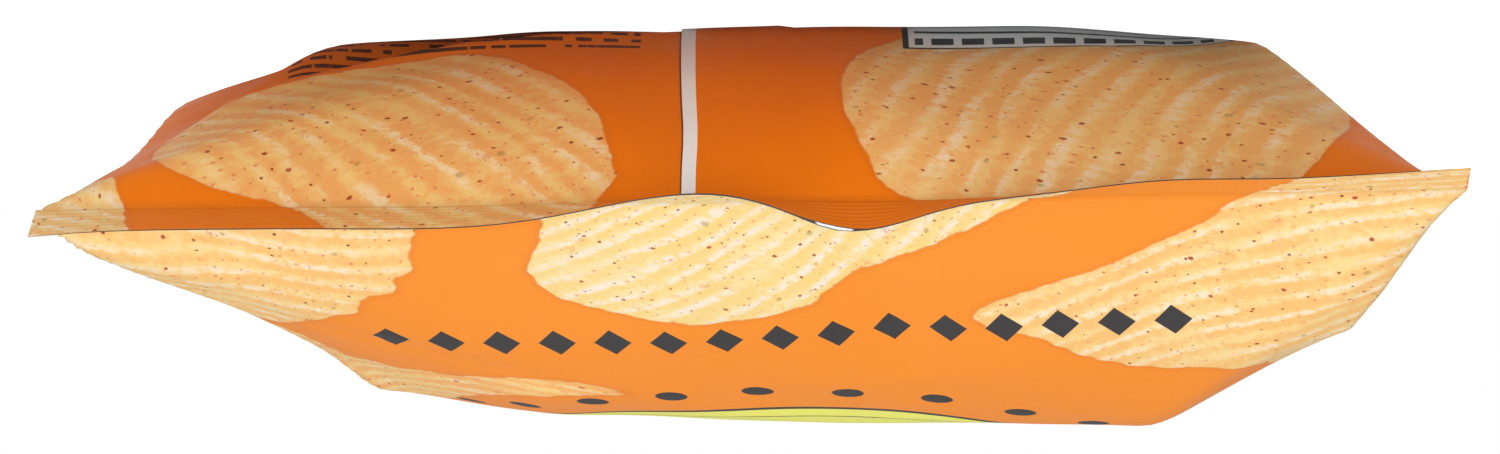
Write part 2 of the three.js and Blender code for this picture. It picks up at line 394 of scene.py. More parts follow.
class StageSettings(bpy.types.PropertyGroup):
    """The floor, the lights and the camera."""

    floor_radius: FloatProperty(
        name="Floor radius", description="Radius of the floor", default=8.0, unit="LENGTH")
    soft_light: FloatProperty(
        name="Soft light", description="Power of the large light above", default=14.0, unit="POWER")
    low_light: FloatProperty(
        name="Low light", description="Power of the large light low on the camera's side", default=38.0,
        unit="POWER")
    room_light: FloatProperty(
        name="Room light", description="Strength of the light from all round", default=0.4)
    camera_distance: FloatProperty(
        name="Camera distance", description="From the top seal's free edge to the camera", default=700 * MM,
        unit="LENGTH")


def rise_of(distance, reach=SHOULDER_LENGTH):
    """How far a section has changed from the seal's shape to the belly's: fast at first, done at its reach."""
    return 1 - (1 - np.clip(distance / reach, 0, 1)) ** 2


def bump(distance, spread):
    return np.exp(-((distance / spread) ** 2))


def smoothstep(value, start, end):
    t = np.clip((value - start) / (end - start), 0, 1)
    return t * t * (3 - 2 * t)


def edge_wave(seal, across):
    """The height of a seal's free edge above its inner line."""
    waves = sum(height * bump(across - at, spread) for at, height, spread in seal["waves"])
    return seal["lift"] + seal["tilt"] * across / HALF_WIDTH + waves


def rounded(corners, steps=8):
    """A polyline with each inner corner replaced by a short curve."""
    points = [corners[0][:2]]
    t = np.linspace(0, 1, steps + 1)[:, None]
    for before, corner, after in zip(corners, corners[1:], corners[2:]):
        ends = []
        for other in (before, after):
            length = np.linalg.norm(other[:2] - corner[:2])
            share = min(corner[2], LONGEST_CUT * length) / max(length, 1e-9)
            ends.append(corner[:2] + (other[:2] - corner[:2]) * share)
        points.extend((1 - t) ** 2 * ends[0] + 2 * t * (1 - t) * corner[:2] + t ** 2 * ends[1])
    points.append(corners[-1][:2])
    return np.array(points)


def at_shares(points, shares):
    """Places on a polyline at the given shares of its length."""
    lengths = np.r_[0, np.cumsum(np.linalg.norm(np.diff(points, axis=0), axis=1))]
    return np.stack([np.interp(shares * lengths[-1], lengths, points[:, k]) for k in (0, 1)], axis=1)


def smooth_panel(panel, across_rows, along):
    """One panel without its relief, as rows of points from the top edge to the bottom edge."""
    rows = []
    for place, across in zip(along, across_rows):
        shares = (HALF_WIDTH - across) / FLAT_WIDTH
        at_top = place < FILM_LENGTH / 2
        seal = TOP_SEAL if at_top else BOTTOM_SEAL
        from_edge = place if at_top else FILM_LENGTH - place
        in_body = max(from_edge - SEAL_HEIGHT, 0) * BODY_LENGTH / BODY_FILM
        in_seal = max(1 - from_edge / SEAL_HEIGHT, 0)
        progress = float(rise_of(in_body))
        left, right = (HALF_WIDTH + spread * (1 - in_seal) for spread in SEAL_SPREAD)
        settle = bump(in_body, WAVE_REACH) * max(1 - 2 * progress, 0)
        change = smoothstep(place, 0.4 * FILM_LENGTH, 0.6 * FILM_LENGTH)
        corners = []
        near = [TOP_BELLY["left crease"], *TOP_BELLY[panel], TOP_BELLY["right crease"]]
        far = [BOTTOM_BELLY["left crease"], *BOTTOM_BELLY[panel], BOTTOM_BELLY["right crease"]]
        for top, bottom in zip(near, far):
            x, z, ease, straight, cut = np.array(top[:5]) * (1 - change) + np.array(bottom[:5]) * change
            end_x, end_z = (left, seal["left"]) if top[0] > 0 else (-right, seal["right"])
            reach = (*(top if at_top else bottom), SHOULDER_LENGTH)[5]
            curved, even = float(rise_of(in_body, reach)), min(in_body / reach, 1)
            move = (1 - straight) * curved + straight * even
            drop = (1 - straight) * curved ** ease + straight * even
            corners.append(np.array([end_x + (x - end_x) * move, end_z + (z - end_z) * drop, cut]))
        points = at_shares(rounded(corners), shares)
        pull = SEAL_PULL * (1 - (across / HALF_WIDTH) ** 2) * (1 - progress)
        y = BODY_LENGTH / 2 + in_seal * SEAL_HEIGHT - in_body - pull
        wave = edge_wave(seal, across) * (INNER_WAVE + (1 - INNER_WAVE) * in_seal) * settle
        rows.append(np.stack([points[:, 0], -y if at_top else y, points[:, 1] + wave], axis=1))
    return np.array(rows)


def film_measure():
    """Film places along the bag and the distance along the film as it lies, both from the top free edge."""
    along = np.linspace(0, FILM_LENGTH, 561)
    middle = np.zeros((len(along), 1))
    steps = [
        np.linalg.norm(np.diff(smooth_panel(panel, middle, along)[:, 0], axis=0), axis=1)
        for panel in ("front", "back")
    ]
    return along, np.r_[0, np.cumsum(np.mean(steps, axis=0))]


def film_rows(settings):
    """Rows of film places, close together in the seals, whose spacing is even along the film as it lies."""
    along, laid = film_measure()
    length = laid[-1]
    in_seal = np.linspace(0, SEAL_HEIGHT, round(SEAL_HEIGHT / (settings.seal_spacing / MM)) + 1)
    body_rows = round((length - 2 * SEAL_HEIGHT) / (settings.spacing / MM))
    body = np.linspace(SEAL_HEIGHT, length - SEAL_HEIGHT, body_rows)
    rows = np.concatenate([in_seal[:-1], body, length - in_seal[::-1][1:]])
    return np.interp(rows, laid, along), rows


def film_columns(settings):
    """Film places across a panel from right to left, closer together towards the sharp folds at its sides,
    with extra ones where the lap seam steps up."""
    even = np.linspace(-1, 1, round(FLAT_WIDTH / (settings.spacing / MM)) + 1)
    even = HALF_WIDTH * (even + SIDE_CROWD * np.sin(math.pi * even) / math.pi)
    edge = SEAM["to"]
    near = [edge - SEAM["crowd"], edge - SEAM["edge"], edge, edge + SEAM["edge"], edge + SEAM["crowd"]]
    kept = even[(even < near[0] - SEAM["clear"]) | (even > near[-1] + SEAM["clear"])]
    return np.sort(np.concatenate([kept, near]))


def folds_at(folds, across, along, sharp):
    """The depth of the folds at places of the film. A sharp one comes to an edge at its middle."""
    depth = np.zeros_like(across)
    for (a, b), (c, d), deep, width in folds:
        run, fall = c - a, d - b
        share = np.clip(((across - a) * run + (along - b) * fall) / (run ** 2 + fall ** 2), 0, 1)
        gap = np.hypot(across - a - share * run, along - b - share * fall)
        fade = np.sin(math.pi * (FOLD_END + (1 - 2 * FOLD_END) * share))
        profile = np.exp(-gap / width) if sharp else bump(gap, width)
        depth += deep * fade * profile
    return depth


def soft_waves(across, along, length, seed, count=12):
    """Uneven waves of about the given length, between about -1 and 1."""
    draw = np.random.default_rng(seed)
    total = np.zeros_like(across)
    for _ in range(count):
        angle, phase = draw.uniform(0, 2 * math.pi, 2)
        stretch = length * draw.uniform(0.7, 1.5)
        total += np.sin(2 * math.pi * (across * math.cos(angle) + along * math.sin(angle)) / stretch + phase)
    return total / math.sqrt(count)


def lumps(across, along, seed):
    """Broad low bumps where crisps inside lean on the film."""
    draw = np.random.default_rng(seed)
    total = np.zeros_like(across)
    for _ in range(LUMPS["count"]):
        a, b = draw.uniform(-LUMPS["across"], LUMPS["across"]), draw.uniform(*LUMPS["laid"])
        turn = draw.uniform(0, math.pi)
        long, short = draw.uniform(*LUMPS["long"]), draw.uniform(*LUMPS["short"])
        u = (across - a) * math.cos(turn) + (along - b) * math.sin(turn)
        w = -(across - a) * math.sin(turn) + (along - b) * math.cos(turn)
        total += draw.uniform(0.4, 1.0) * np.exp(-((u / long) ** 2) - (w / short) ** 2)
    return total


def pleats(across, laid, length, count, seed):
    """Fine pleats that start at both seals' inner lines and fan out into the panel."""
    draw = np.random.default_rng(seed)
    total = np.zeros_like(across)
    for from_end in (laid, length - laid):
        into = from_end - SEAL_HEIGHT
        for _ in range(count):
            start, reach = draw.uniform(-88, 88), draw.uniform(10, 38)
            lean, deep, width = draw.uniform(-0.22, 0.22), draw.uniform(-0.22, 0.22), draw.uniform(0.9, 2.2)
            middle = start + lean * into
            fade = smoothstep(into, -1.5, 2.5) * (1 - smoothstep(into, 0.4 * reach, reach))
            spread = width * (1 + 2 * np.clip(into, 0, None) / reach)
            total += deep * fade * np.exp(-np.abs(across - middle) / spread)
    return total


def side_crumples(across, laid, seed):
    """Short wrinkles that run in from the side creases of the belly."""
    draw = np.random.default_rng(seed)
    total = np.zeros_like(across)
    for side in (-1, 1):
        from_crease = HALF_WIDTH - side * across
        for _ in range(15):
            at, reach = draw.uniform(104, 236), draw.uniform(7, 20)
            lean, deep, width = draw.uniform(-0.5, 0.5), draw.uniform(-0.5, 0.6), draw.uniform(1.4, 3.4)
            gap = np.abs(laid - at - lean * from_crease)
            total += deep * np.exp(-gap / width) * bump(from_crease, reach)
    return total


def relief(panel, settings, column, across, along, laid, length):
    """How far each point of a panel stands out from its smooth surface, in mm."""
    front = panel == "front"
    seed = 20 if front else 30
    from_end = np.minimum(laid, length - laid)
    in_body = smoothstep(from_end, *BODY_RELIEF)
    belly = smoothstep(from_end, *BELLY_RELIEF)
    skin = SEAL_SKIN + (BODY_SKIN - SEAL_SKIN) * smoothstep(from_end, *SKIN_GROWS)
    out = skin - folds_at(FRONT_FOLDS if front else BACK_FOLDS, across, along, sharp=False)
    out -= in_body * folds_at(FRONT_CREASES if front else BACK_CREASES, across, laid, sharp=True)
    out += in_body * settings.sag_height / MM * soft_waves(across, laid, SAG_LENGTH, seed)
    out += belly * settings.lump_height / MM * lumps(across, laid, seed + 1)
    out += pleats(across, laid, length, settings.pleat_count, seed + 2)
    out += side_crumples(across, laid, seed + 3) * in_body
    if not front:
        past_edge = column > SEAM["to"] + SEAM["edge"] / 2
        step = smoothstep(column, SEAM["from"] - SEAM["soft"], SEAM["from"]) * ~past_edge
        out += (SEAM["sealed"] + (SEAM["height"] - SEAM["sealed"]) * in_body) * step
    gape = NOTCH["gape"] * bump(across - NOTCH["at"], NOTCH["half_width"])
    out += gape * (1 - smoothstep(laid, 0, NOTCH["reach"]))
    fade = 1 - (np.abs(across) / HALF_WIDTH) ** CREASE_FADE
    ribs = np.sin(2 * math.pi * laid / (settings.crimp_pitch / MM)) * (1 - smoothstep(from_end, *RIBS_END))
    rib_side = 1 if front else -1
    return out * fade + rib_side * settings.crimp_depth / MM * ribs * smoothstep(from_end, 0, RIBS_START)


def panel_places(panel, settings, columns, along, rows):
    """Every point of a panel in mm, with its relief, resting flat where it meets the surface. The columns
    lean with the lap seam, so the second result is each point's true place across the film."""
    from_end = np.minimum(rows, rows[-1] - rows)
    lean = SEAM["lean"] * rise_of(np.clip(from_end - SEAL_HEIGHT, 0, None))
    across = columns + lean[:, None] * (1 - (columns / HALF_WIDTH) ** 2)
    smooth = smooth_panel(panel, across, along)
    down = np.gradient(smooth, axis=0)
    over = np.gradient(smooth, axis=1)
    normal = np.cross(over, down)
    normal /= np.linalg.norm(normal, axis=2, keepdims=True)
    if panel == "back":
        normal = -normal
    column = np.broadcast_to(columns, across.shape)
    place = np.broadcast_to(along[:, None], across.shape)
    laid = np.broadcast_to(rows[:, None], across.shape)
    out = relief(panel, settings, column, across, place, laid, rows[-1])
    points = smooth + normal * out[:, :, None]
    points[:, :, 2] = np.maximum(points[:, :, 2], 0)
    return points, across


def curve_through(points, steps=6):
    """A closed smooth curve through the given points."""
    points = np.array(points, float)
    t = (np.arange(steps) / steps)[:, None]
    pieces = []
    for i in range(len(points)):
        a, b, c, d = (points[(i + k) % len(points)] for k in (-1, 0, 1, 2))
        pieces.append(0.5 * (2 * b + (c - a) * t + (2 * a - 5 * b + 4 * c - d) * t ** 2
                             + (3 * b - a - 3 * c + d) * t ** 3))
    return np.concatenate(pieces)


def inside_depth(points, places):
    """How deep each place lies inside a closed outline, negative outside."""
    starts, ends = points, np.roll(points, -1, axis=0)
    nearest = np.full(len(places), np.inf)
    crossings = np.zeros(len(places), int)
    x, y = places[:, 0], places[:, 1]
    for (x0, y0), (x1, y1) in zip(starts, ends):
        run, fall = x1 - x0, y1 - y0
        share = np.clip(((x - x0) * run + (y - y0) * fall) / max(run ** 2 + fall ** 2, 1e-9), 0, 1)
        nearest = np.minimum(nearest, np.hypot(x - x0 - share * run, y - y0 - share * fall))
        if y0 != y1:
            meets = ((y0 > y) != (y1 > y)) & (x < x0 + (y - y0) / fall * run)
            crossings += meets
    return np.where(crossings % 2 == 1, nearest, -nearest)


PERIMETER = 2 * FLAT_WIDTH
FAR_AWAY = 99.0


def round_place(panel, across):
    """The place round the tube of film: from the left crease over the front to the right, and back below."""
    return HALF_WIDTH - across if panel == "front" else 3 * HALF_WIDTH + across


def crisp_layers(around, laid):
    """Two layers of pictured crisps. Each holds, for every place of the film, how deep it lies in a crisp,
    how many ridges it is across the crisp, how far along them it is, and how toasted the crisp is."""
    layers = []
    for first in (0, 1):
        layer = np.zeros((len(around), 4))
        layer[:, 0] = -FAR_AWAY
        for crisp in pictured_crisps()[first::2]:
            way = 1 if crisp["panel"] == "front" else -1
            outline = curve_through(crisp["outline"])
            centre_across, centre_laid = outline.mean(axis=0)
            centre = round_place(crisp["panel"], centre_across)
            over = (around - centre + PERIMETER / 2) % PERIMETER - PERIMETER / 2
            right, down = way * over, laid - centre_laid
            local = np.stack([centre_across - outline[:, 0], outline[:, 1] - centre_laid], axis=1)
            depth = inside_depth(local, np.stack([right, down], axis=1))
            rise = math.radians(crisp["rise"])
            ridge = right * math.sin(rise) + down * math.cos(rise)
            run = right * math.cos(rise) - down * math.sin(rise)
            ridge = ridge + crisp["bow"] * run ** 2 / 8
            better = depth > layer[:, 0]
            values = np.stack([depth, ridge / crisp["pitch"] + 31 * crisp["seed"], run + 57 * crisp["seed"],
                               np.full_like(run, crisp["toast"])], axis=1)
            layer[better] = values[better]
        layers.append(layer)
    return layers


def deselect_all():
    for item in bpy.context.selected_objects:
        item.select_set(False)


def film_panel(panel, settings, columns, along, rows):
    """One panel: a grid of points shaped to its place, with its place on the film kept as a UV map and its
    pictured crisps as attributes."""
    deselect_all()
    bpy.ops.mesh.primitive_grid_add(
        x_subdivisions=len(columns) - 1, y_subdivisions=len(rows) - 1, size=2, calc_uvs=False)
    item = bpy.context.object
    item.name = f"film_{panel}"
    mesh = item.data
    flat = np.empty(len(mesh.vertices) * 3)
    mesh.vertices.foreach_get("co", flat)
    flat = flat.reshape(-1, 3)
    column = np.rint((flat[:, 0] + 1) / 2 * (len(columns) - 1)).astype(int)
    row = np.rint((flat[:, 1] + 1) / 2 * (len(rows) - 1)).astype(int)
    points, across = panel_places(panel, settings, columns, along, rows)
    mesh.vertices.foreach_set("co", (points[row, column] * MM).ravel())
    around, laid = round_place(panel, across[row, column]), rows[row]
    corner = np.empty(len(mesh.loops), int)
    mesh.loops.foreach_get("vertex_index", corner)
    uv = mesh.uv_layers.new(name="film")
    uv.data.foreach_set("uv", np.stack([around, laid], axis=1)[corner].ravel())
    for number, layer in enumerate(crisp_layers(around, laid)):
        shape = mesh.attributes.new(f"crisp_{number}", "FLOAT_VECTOR", "POINT")
        shape.data.foreach_set("vector", layer[:, :3].ravel())
        toast = mesh.attributes.new(f"toast_{number}", "FLOAT", "POINT")
        toast.data.foreach_set("value", layer[:, 3].copy())
    gap = mesh.attributes.new("seam_gap", "FLOAT", "POINT")
    far = np.full(len(column), FAR_AWAY)
    gap.data.foreach_set("value", SEAM["to"] - columns[column] if panel == "back" else far)
    mesh.update()
    if panel == "back":
        bpy.ops.object.mode_set(mode="EDIT")
        bpy.ops.mesh.select_all(action="SELECT")
        bpy.ops.mesh.flip_normals()
        bpy.ops.object.mode_set(mode="OBJECT")
    return item


def free_edges(item, end, y_limit):
    """Selects the loose edges of both panels at one end of the bag, and nothing else."""
    mesh = item.data
    uses = np.zeros(len(mesh.edges), int)
    sides = np.empty(len(mesh.loops), int)
    mesh.loops.foreach_get("edge_index", sides)
    np.add.at(uses, sides, 1)
    places = np.empty(len(mesh.vertices) * 3)
    mesh.vertices.foreach_get("co", places)
    y = places.reshape(-1, 3)[:, 1] * end
    ends = np.empty(len(mesh.edges) * 2, int)
    mesh.edges.foreach_get("vertices", ends)
    ends = ends.reshape(-1, 2)
    chosen = (uses == 1) & (y[ends].min(axis=1) > y_limit)
    x = places.reshape(-1, 3)[:, 0]
    chosen &= np.abs(x[ends[:, 0]] - x[ends[:, 1]]) > 1e-7
    picked = np.zeros(len(mesh.vertices), bool)
    picked[ends[chosen].ravel()] = True
    mesh.polygons.foreach_set("select", np.zeros(len(mesh.polygons), bool))
    mesh.vertices.foreach_set("select", picked)
    mesh.edges.foreach_set("select", chosen)


def linear(colour):
    """A screen colour as the shader's linear colour."""
    values = [c / 12.92 if c <= 0.04045 else ((c + 0.055) / 1.055) ** 2.4 for c in colour]
    return (*values, 1.0)


class Finish:
    """A material and short ways to add its nodes. Each way returns the socket that holds its result."""

    def __init__(self, name):
        self.material = bpy.data.materials.new(name)
        self.material.use_nodes = True
        self.tree = self.material.node_tree
        self.tree.nodes.clear()
        self.shader = self.node("ShaderNodeBsdfPrincipled")
        output = self.node("ShaderNodeOutputMaterial")
        self.tree.links.new(self.shader.outputs["BSDF"], output.inputs["Surface"])

    def node(self, kind, **settings):
        node = self.tree.nodes.new(kind)
        for name, value in settings.items():
            setattr(node, name, value)
        return node

    def put(self, value, socket):
        if isinstance(value, bpy.types.NodeSocket):
            self.tree.links.new(value, socket)
        else:
            socket.default_value = value

    def math(self, operation, *values, clamp=False):
        node = self.node("ShaderNodeMath", operation=operation, use_clamp=clamp)
        for value, socket in zip(values, node.inputs):
            self.put(value, socket)
        return node.outputs[0]

    def add(self, a, b):
        return self.math("ADD", a, b)

    def sub(self, a, b):
        return self.math("SUBTRACT", a, b)

    def mul(self, *values):
        result = values[0]
        for value in values[1:]:
            result = self.math("MULTIPLY", result, value)
        return result

    def step(self, value, start, end, low=0.0, high=1.0):
        """low below start and high above end, with a soft change between them."""
        node = self.node("ShaderNodeMapRange", interpolation_type="SMOOTHSTEP")
        for number, item in enumerate((value, start, end, low, high)):
            self.put(item, node.inputs[number])
        return node.outputs[0]

    def between(self, value, start, end, soft):
        """1 between start and end."""
        past_start = self.step(value, start - soft, start + soft)
        return self.mul(past_start, self.step(value, end - soft, end + soft, 1, 0))

    def within(self, value, limit, soft):
        """1 where the value is nearer to 0 than the limit."""
        return self.step(self.math("ABSOLUTE", value), limit - soft, limit + soft, 1, 0)

    def swing(self, value, size):
        """A value that lies about 0.5, moved to lie about 0 and grown by the given size."""
        return self.mul(self.sub(value, 0.5), size)

    def ripple(self, turns):
        """A wave between 0 and 1 with a crest at every whole turn."""
        return self.math("MULTIPLY_ADD", self.math("COSINE", self.mul(turns, 2 * math.pi)), 0.5, 0.5)

    def tiled(self, value, pitch):
        """The value counted from the middle of its own tile of the given pitch."""
        return self.math("WRAP", value, -pitch / 2, pitch / 2)

    def distance(self, x, y):
        return self.math("SQRT", self.add(self.mul(x, x), self.mul(y, y)))

    def attribute(self, name, output="Fac"):
        return self.node("ShaderNodeAttribute", attribute_name=name).outputs[output]

    def mix(self, share, a, b):
        """A mix of two colours. Each is a socket or a screen colour."""
        node = self.node("ShaderNodeMix", data_type="RGBA")
        self.put(share, node.inputs["Factor"])
        for name, colour in (("A", a), ("B", b)):
            socket = [s for s in node.inputs if s.name == name and s.type == "RGBA"][0]
            self.put(colour if isinstance(colour, bpy.types.NodeSocket) else linear(colour), socket)
        return [s for s in node.outputs if s.type == "RGBA"][0]

    def vector(self, x, y, z=0.0):
        node = self.node("ShaderNodeCombineXYZ")
        for value, socket in zip((x, y, z), node.inputs):
            self.put(value, socket)
        return node.outputs[0]

    def noise(self, place, scale, detail=2.0, roughness=0.5):
        node = self.node("ShaderNodeTexNoise", noise_dimensions="3D")
        self.put(place, node.inputs["Vector"])
        for name, value in (("Scale", scale), ("Detail", detail), ("Roughness", roughness)):
            self.put(value, node.inputs[name])
        return node.outputs[0]

    def cells(self, place, scale):
        """The distance to the middle of the nearest cell, and three random values of that cell."""
        node = self.node("ShaderNodeTexVoronoi", voronoi_dimensions="2D", feature="F1")
        self.put(place, node.inputs["Vector"])
        self.put(scale, node.inputs["Scale"])
        parts = self.node("ShaderNodeSeparateColor")
        self.put(node.outputs["Color"], parts.inputs[0])
        return node.outputs["Distance"], parts.outputs

    def parts(self, vector):
        node = self.node("ShaderNodeSeparateXYZ")
        self.put(vector, node.inputs[0])
        return node.outputs


# Small colours of the print: a crisp's rim, smears and shade on the film, the label's waves, the panel's
# rules, the bare edge of the film with its pale inside, and the painted shadow beside the lap seam's cut edge
RIM_BROWN = (0.82, 0.42, 0.20)
SMEAR_RED = (0.85, 0.38, 0.30)
SHADE_BROWN = (0.72, 0.30, 0.08)
WAVE_ORANGE = (0.93, 0.52, 0.14)
RULE_BLACK = (0.1, 0.09, 0.09)
SEAM_PAINTED_SHADOW = (0.25, 0.13, 0.07)
CUT_BROWN = (0.14, 0.09, 0.06)
CUT_PALE = (0.9, 0.92, 0.93)

# How a crisp is drawn: a ridge in mm and how far it strays, in ridges. Then how far its outline is scalloped
# by the ridges and ragged by chance, and the widths of its brown rim, its thin edge and its shade on the
# film, in mm.
RIDGE = 4.0
RIDGE_STRAYS = 1.3
SCALLOP = 0.3
RAGGED = 1.2
RIM_WIDTH = 2.6
EDGE_WIDTH = 0.3
SHADE_WIDTH = 1.4

# How strongly each of these shows
STREAK_SHARE = 0.95
RIM_SHARE = 0.4
EDGE_SHARE = 0.5
SMEAR_SHARE = 0.6
SHADE_SHARE = 0.14

# Specks on the crisps: how close their cells are, the share without one, the largest, the colour and its
# strength
SPECKS = [
    (0.21, 0.38, 0.10, (0.66, 0.15, 0.07), 0.9),
    (0.31, 0.70, 0.105, (0.50, 0.12, 0.06), 0.9),
    (0.55, 0.62, 0.17, (0.88, 0.38, 0.30), 0.6),
    (0.14, 0.78, 0.10, (0.60, 0.50, 0.26), 0.5),
]

# The yellow label on the front: its middle, half width and half height, its border, the line inside it and
# the dots round it, and the wavy lines in it with the half height and half width of the field that they fill
LABEL = {"across": -1.0, "laid": 108.5, "half_width": 52.0, "half_height": 38.0, "border": 1.3,
         "line_gap": 5.5, "line": 0.5, "dots": 30, "dot_gap": 9.0, "dot_radius": 2.0, "wave_pitch": 9.0,
         "wave_length": 16.0, "wave_height": 2.2, "wave_line": 1.05, "waves_high": 13.5, "waves_wide": 30.0}

# The row of lozenges above it: how its middle runs, its pitch and its half sizes
LOZENGES = {"laid": 44.9, "slope": 0.113, "bow": -0.0004, "reach": 60.0, "pitch": 8.0, "half_width": 2.7,
            "half_height": 3.4}

# The pale panel on the back: its sides, its outline, how its top rounds off, its row of blocks, and its
# rules with their place in a row and their thin and thick half heights. Then the short dashes at its left.
PANEL = {"left": -21.3, "right": -66.0, "top": 59.3, "bottom": 152.0, "line": 0.8, "round_from": -43.0,
         "round": 0.052, "inset": (3.0, 1.6), "heading": (2.4, 6.6), "block": 4.0, "block_share": 0.73,
         "rule_pitch": 7.5, "rule_at": 3.5, "rules": (0.35, 0.9), "rules_from": 8.5, "rules_to": 2.0}
DASHES = {"left": 60.0, "right": 13.0, "top": 59.0, "bottom": 118.0, "pitch": 3.4, "darkness": 0.9}


def print_crisps(f, colours, ground, number):
    """Draws one layer of pictured crisps over the ground colour."""
    depth, ridge, run = f.parts(f.attribute(f"crisp_{number}", "Vector"))
    toast = f.attribute(f"toast_{number}")
    wander = f.noise(f.vector(f.mul(ridge, 0.35), f.mul(run, 0.035)), 1.0, 1.0)
    ridge = f.add(ridge, f.swing(wander, RIDGE_STRAYS))
    crest, lit = f.ripple(ridge), f.ripple(f.sub(ridge, 0.1))
    place = f.vector(f.mul(ridge, RIDGE), run)
    ragged = f.noise(place, 0.3, 3.0, 0.6)
    depth = f.add(depth, f.add(f.swing(crest, SCALLOP), f.swing(ragged, RAGGED)))
    inside = f.step(depth, -0.06, 0.08)

    crests = f.mix(toast, colours.crest, colours.toasted_crest)
    valleys = f.mix(toast, colours.valley, colours.toasted_valley)
    shine = f.mix(toast, colours.shine, colours.toasted_shine)
    mottle = f.noise(place, 0.6, 4.0, 0.68)
    patch = f.noise(place, 0.07, 2.0, 0.5)
    grain = f.noise(place, 2.6, 2.0, 0.8)
    level = f.add(f.add(f.mul(crest, 0.55), f.swing(mottle, 2.2)), f.swing(patch, 1.2))
    body = f.mix(f.step(level, -0.15, 0.75), valleys, crests)

    along = f.vector(f.mul(ridge, 0.9), f.mul(run, 0.07), 9.0)
    gaps = f.math("MULTIPLY_ADD", toast, 0.12, 0.30)
    broken = f.step(f.noise(along, 1.0, 2.0, 0.5), gaps, f.add(gaps, 0.2))
    flecks = f.step(f.add(mottle, f.swing(grain, 0.6)), 0.36, 0.60)
    streak = f.mul(f.step(f.add(lit, f.swing(mottle, 0.5)), 0.6, 0.9), broken, flecks)
    body = f.mix(f.mul(streak, STREAK_SHARE), body, shine)
    body = f.mix(f.step(grain, 0.52, 0.75, 0, 0.5), body, valleys)
    body = f.mix(f.step(grain, 0.25, 0.46, 0.4, 0), body, shine)

    body = f.mix(f.mul(f.step(depth, 0.0, RIM_WIDTH, 1, 0), RIM_SHARE), body, valleys)
    body = f.mix(f.mul(f.step(depth, 0.0, EDGE_WIDTH, 1, 0), EDGE_SHARE), body, RIM_BROWN)
    bent = f.vector(f.add(f.mul(ridge, RIDGE), f.mul(mottle, 1.2)), f.add(run, f.mul(grain, 0.5)))
    for scale, share_without, largest, tint, strength in SPECKS:
        distance, chance = f.cells(bent, scale)
        size = f.mul(f.math("MULTIPLY_ADD", chance[1], 0.6, 0.4), largest)
        size = f.mul(f.step(chance[0], share_without - 0.01, share_without), size)
        speck = f.step(f.sub(size, distance), 0.0, 0.05)
        body = f.mix(f.mul(speck, strength), body, tint)
    smear = f.mul(f.step(f.noise(place, 0.22, 4.0, 0.75), 0.60, 0.70), f.step(grain, 0.4, 0.6))
    body = f.mix(f.mul(smear, SMEAR_SHARE), body, SMEAR_RED)
    ground = f.mix(f.mul(f.step(depth, -SHADE_WIDTH, 0.0), SHADE_SHARE), ground, SHADE_BROWN)
    return f.mix(inside, ground, body)


def print_label(f, colours, ground, across, laid):
    """The yellow label with its border, inner line, wavy lines and ring of dots."""
    x, y = f.sub(across, LABEL["across"]), f.sub(laid, LABEL["laid"])
    u, v = f.mul(x, 1 / LABEL["half_width"]), f.mul(y, 1 / LABEL["half_height"])
    share = f.distance(u, v)
    size = math.sqrt(LABEL["half_width"] * LABEL["half_height"])
    gap = f.mul(f.sub(share, 1.0), size)
    colour = f.mix(f.step(gap, -0.1, 0.1, 1, 0), ground, colours.label)

    wave = f.mul(f.math("SINE", f.mul(x, 2 * math.pi / LABEL["wave_length"])), LABEL["wave_height"])
    row = f.tiled(f.add(y, wave), LABEL["wave_pitch"])
    waves = f.mul(f.within(row, LABEL["wave_line"], 0.1), f.within(y, LABEL["waves_high"], 0.1),
                  f.within(x, LABEL["waves_wide"], 0.2))
    colour = f.mix(waves, colour, WAVE_ORANGE)

    line = f.between(gap, -LABEL["line_gap"] - LABEL["line"], -LABEL["line_gap"], 0.08)
    border = f.between(gap, -LABEL["border"] / 2, LABEL["border"] / 2, 0.1)
    off = f.mul(f.tiled(f.math("ARCTAN2", v, u), 2 * math.pi / LABEL["dots"]), f.mul(share, size))
    dot = f.distance(off, f.sub(gap, LABEL["dot_gap"]))
    dots = f.step(dot, LABEL["dot_radius"] - 0.12, LABEL["dot_radius"] + 0.12, 1, 0)
    return f.mix(f.math("MAXIMUM", f.math("MAXIMUM", line, border), dots), colour, colours.dark)


def print_lozenges(f, colours, ground, across, laid):
    """A slightly bowed row of dark lozenges."""
    middle = f.add(f.math("MULTIPLY_ADD", across, LOZENGES["slope"], LOZENGES["laid"]),
                   f.mul(f.mul(across, across), LOZENGES["bow"]))
    x, y = f.tiled(across, LOZENGES["pitch"]), f.sub(laid, middle)
    reach = f.add(f.mul(f.math("ABSOLUTE", x), 1 / LOZENGES["half_width"]),
                  f.mul(f.math("ABSOLUTE", y), 1 / LOZENGES["half_height"]))
    in_row = f.between(across, -LOZENGES["reach"], LOZENGES["reach"], 0.1)
    marks = f.mul(f.step(reach, 0.97, 1.03, 1, 0), in_row)
    return f.mix(marks, ground, colours.dark)


